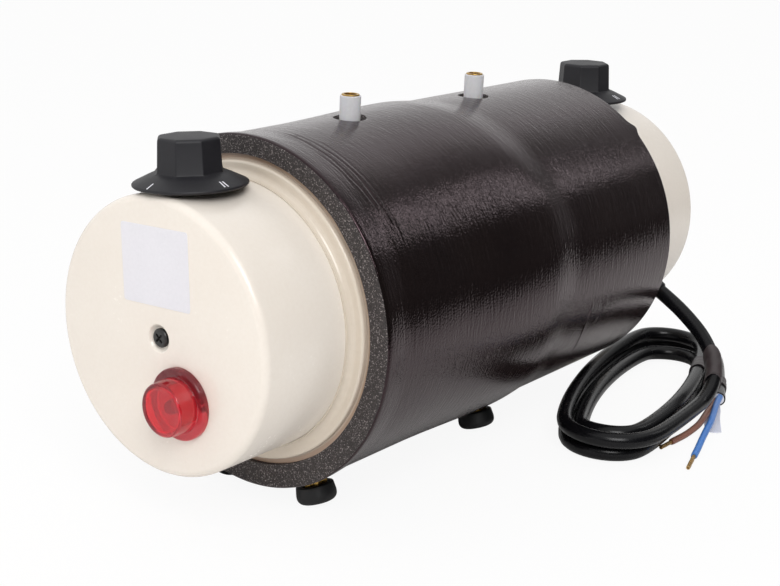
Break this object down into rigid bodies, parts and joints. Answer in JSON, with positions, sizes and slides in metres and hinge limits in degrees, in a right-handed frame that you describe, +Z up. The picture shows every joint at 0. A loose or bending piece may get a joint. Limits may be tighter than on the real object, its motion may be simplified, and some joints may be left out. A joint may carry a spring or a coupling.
{
  "type": "caravan water heater",
  "caption": "Small horizontal electric water heater in a black foam jacket, with cream end caps, turning knobs, a red pilot lamp, hose stubs and a coiled cord.",
  "frame": {"origin": "on the floor, in the middle of the heater without its cord", "axes": "+Z up, +Y along the tank towards the end with the cord; the lamp end faces -Y and +X is to its right"},
  "size_m": [0.2063, 0.3778, 0.1685],
  "materials": {
    "foam": "black closed-cell foam with a smooth skin",
    "cream_plastic": "moulded cream plastic, semi-gloss",
    "cream_metal": "cream enamel",
    "black_plastic": "moulded black plastic, satin",
    "black_screw": "black oxide",
    "red_lens": "clear red plastic, glossy",
    "white_plastic": "white plastic, semi-gloss",
    "brass": "turned",
    "steel": "plated",
    "copper": "drawn copper",
    "ceramic": "unglazed ceramic",
    "glass": "clear",
    "gasket_rubber": "matt",
    "foot_rubber": "moulded black rubber",
    "cord_rubber": "black cord sheath",
    "tape": "black insulating tape",
    "blue_wire": "blue insulation",
    "brown_wire": "brown insulation",
    "filler": "thin white filler"
  },
  "bodies": {
    "heater": {"tank_shell": "cream_metal", "tank_front_plate": "cream_metal", "tank_rear_plate": "cream_metal", "insulation_jacket": "foam", "front_cap": "cream_plastic", "rear_cap": "cream_plastic", "cap_screws": "black_screw", "screw_posts": "brass", "switch_body": "black_plastic", "switch_nut": "steel", "thermostat_body": "ceramic", "thermostat_nut": "steel", "capillary": "copper", "sensor_bulb": "copper", "sensor_pocket": "brass", "heater_flange": "brass", "heater_gasket": "gasket_rubber", "flange_bolts": "steel", "heating_rods": "steel", "rod_terminals": "ceramic", "safety_cutout": "black_plastic", "pilot_lens": "red_lens", "lamp_holder": "white_plastic", "lamp_nut": "black_plastic", "neon_lamp": "glass", "terminal_block": "white_plastic", "cable_gland": "black_plastic", "gland_nut": "black_plastic", "cold_stub": "white_plastic", "hot_stub": "white_plastic", "stub_linings": "brass", "dip_tube": "white_plastic", "foot_screws": "brass", "foot_nuts": "brass", "rubber_feet": "foot_rubber", "cord_lead": "cord_rubber", "cord_coil": "cord_rubber", "cord_tape": "tape", "blue_wire": "blue_wire", "brown_wire": "brown_wire", "wire_strands": "copper", "cord_filler": "filler"},
    "front_control": {"front_knob": "black_plastic", "switch_shaft": "steel"},
    "rear_control": {"rear_knob": "black_plastic", "thermostat_shaft": "steel"}
  },
  "joints": [
    {"name": "front_control_turn", "type": "hinge", "parent": "heater", "child": "front_control", "pos_m": [-0.00383, -0.141, 0.14207], "axis": [-0.0663, 0, 0.9978], "range_deg": [-90, 90]},
    {"name": "rear_control_turn", "type": "hinge", "parent": "heater", "child": "rear_control", "pos_m": [-0.00167, 0.1485, 0.14418], "axis": [-0.0279, 0, 0.9996], "range_deg": [-135, 135]}
  ]
}
